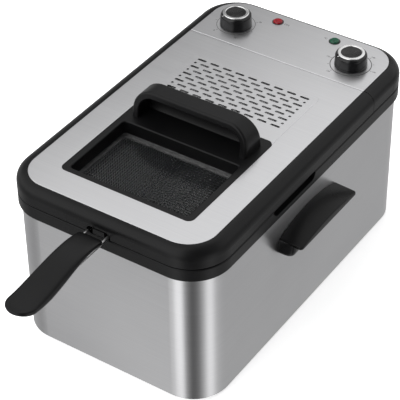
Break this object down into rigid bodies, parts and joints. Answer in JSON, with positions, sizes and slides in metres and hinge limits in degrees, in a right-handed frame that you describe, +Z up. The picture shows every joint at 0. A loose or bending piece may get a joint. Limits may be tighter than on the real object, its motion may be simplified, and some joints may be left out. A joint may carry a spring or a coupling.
{
  "type": "deep fryer",
  "caption": "Stainless deep fryer with a lift-off windowed lid, wire basket, oil pot and a control head with heating element, timer and thermostat knobs.",
  "frame": {"origin": "on the surface that the rubber feet stand on, below the middle of the whole object's box, basket handle included; the housing's own middle is 69.2 mm further back", "axes": "+Z up, +Y from the basket handle's end (front) to the control end (back), +X to the right hand of a person at the front"},
  "size_m": [0.294, 0.5471, 0.237],
  "materials": {
    "housing_steel": "stainless sheet with a horizontal brushed grain",
    "lid_steel": "stainless sheet with a cross brushed grain",
    "inner_steel": "plain stainless sheet",
    "pot_enamel": "black baked coating, glossy",
    "basket_wire": "nickel-plated steel wire",
    "element_tube": "dark oxidised tube",
    "screw_zinc": "zinc-plated",
    "black_satin": "satin moulding with a fine texture",
    "frame_black": "smooth satin moulding",
    "grip_black": "satin moulding",
    "inner_plastic": "plain moulding",
    "knob_gloss": "polished moulding",
    "knob_cap": "satin moulding with fine rings",
    "knob_chrome": "bright plated",
    "rubber_black": "matt",
    "silicone_grey": "matt",
    "window_glass": "clear toughened glass",
    "lens_red": "clear red lens",
    "lens_green": "clear green lens",
    "filter_mesh": "expanded mesh pad",
    "filter_charcoal": "open foam with carbon",
    "shaft_brass": "turned",
    "mechanism_metal": "plain case",
    "button_red": "plain moulding"
  },
  "bodies": {
    "base": {"body_shell": "housing_steel", "base_tray": "inner_plastic", "rubber_feet": "rubber_black", "base_screws": "screw_zinc", "top_rim": "black_satin", "inner_liner": "inner_steel", "deck_screws": "screw_zinc", "side_handle_right": "grip_black", "side_handle_left": "grip_black", "side_handle_screws": "screw_zinc"},
    "pot": {"oil_pot": "pot_enamel"},
    "head": {"head_housing": "black_satin", "control_panel": "lid_steel", "head_bottom_cover": "inner_plastic", "head_cover_screws": "screw_zinc", "timer_mechanism": "mechanism_metal", "thermostat_body": "mechanism_metal", "red_lamp_lens": "lens_red", "green_lamp_lens": "lens_green", "lamp_holders": "inner_plastic", "heating_element": "element_tube", "element_bracket": "inner_steel", "thermostat_bulb": "inner_steel", "capillary_tube": "inner_steel", "bulb_clip": "inner_steel", "thermal_cutout": "inner_plastic", "terminal_block": "inner_plastic", "interlock_switch": "inner_plastic", "cord_gland": "inner_plastic"},
    "reset_button": {"reset_button": "button_red"},
    "timer_knob": {"timer_knob": "knob_gloss", "timer_knob_ring": "knob_chrome", "timer_knob_cap": "knob_cap", "timer_shaft": "shaft_brass"},
    "thermostat_knob": {"thermostat_knob": "knob_gloss", "thermostat_knob_ring": "knob_chrome", "thermostat_knob_cap": "knob_cap", "thermostat_shaft": "shaft_brass"},
    "lid": {"lid_trim": "black_satin", "lid_panel": "lid_steel", "window_frame": "frame_black", "lid_handle": "frame_black", "lid_handle_screws": "screw_zinc", "window_glass": "window_glass", "window_seal": "silicone_grey", "lid_underside": "inner_steel", "lid_gasket": "silicone_grey", "grease_filter": "filter_mesh", "charcoal_filter": "filter_charcoal", "filter_cover": "inner_plastic", "lid_screws": "screw_zinc"},
    "basket": {"basket_mesh": "basket_wire", "basket_rim_wire": "basket_wire", "basket_frame_wires": "basket_wire", "basket_handle_wires": "basket_wire", "basket_bracket": "basket_wire", "basket_handle": "grip_black", "basket_handle_screw": "screw_zinc"}
  },
  "joints": [
    {"name": "lid_lift", "type": "slide", "parent": "base", "child": "lid", "axis": [0, 0, 1], "range_m": [0, 0.5]},
    {"name": "basket_lift", "type": "slide", "parent": "base", "child": "basket", "axis": [0, 0, 1], "range_m": [0, 0.375]},
    {"name": "head_lift", "type": "slide", "parent": "base", "child": "head", "axis": [0, 0, 1], "range_m": [0, 0.275]},
    {"name": "pot_lift", "type": "slide", "parent": "base", "child": "pot", "axis": [0, 0, 1], "range_m": [0, 0.15]},
    {"name": "timer_turn", "type": "hinge", "parent": "head", "child": "timer_knob", "pos_m": [-0.0736, 0.22005, 0.2035], "axis": [0, 0, -1], "range_deg": [0, 300]},
    {"name": "thermostat_turn", "type": "hinge", "parent": "head", "child": "thermostat_knob", "pos_m": [0.0736, 0.22005, 0.2035], "axis": [0, 0, -1], "range_deg": [0, 270]},
    {"name": "reset_press", "type": "slide", "parent": "head", "child": "reset_button", "axis": [0, -1, 0], "range_m": [0, 0.002], "stiffness_N_per_m": 400}
  ],
  "couplings": [
    {"joint": "basket_lift", "follows": "lid_lift", "ratio": 0.75},
    {"joint": "head_lift", "follows": "lid_lift", "ratio": 0.55},
    {"joint": "pot_lift", "follows": "lid_lift", "ratio": 0.3}
  ]
}
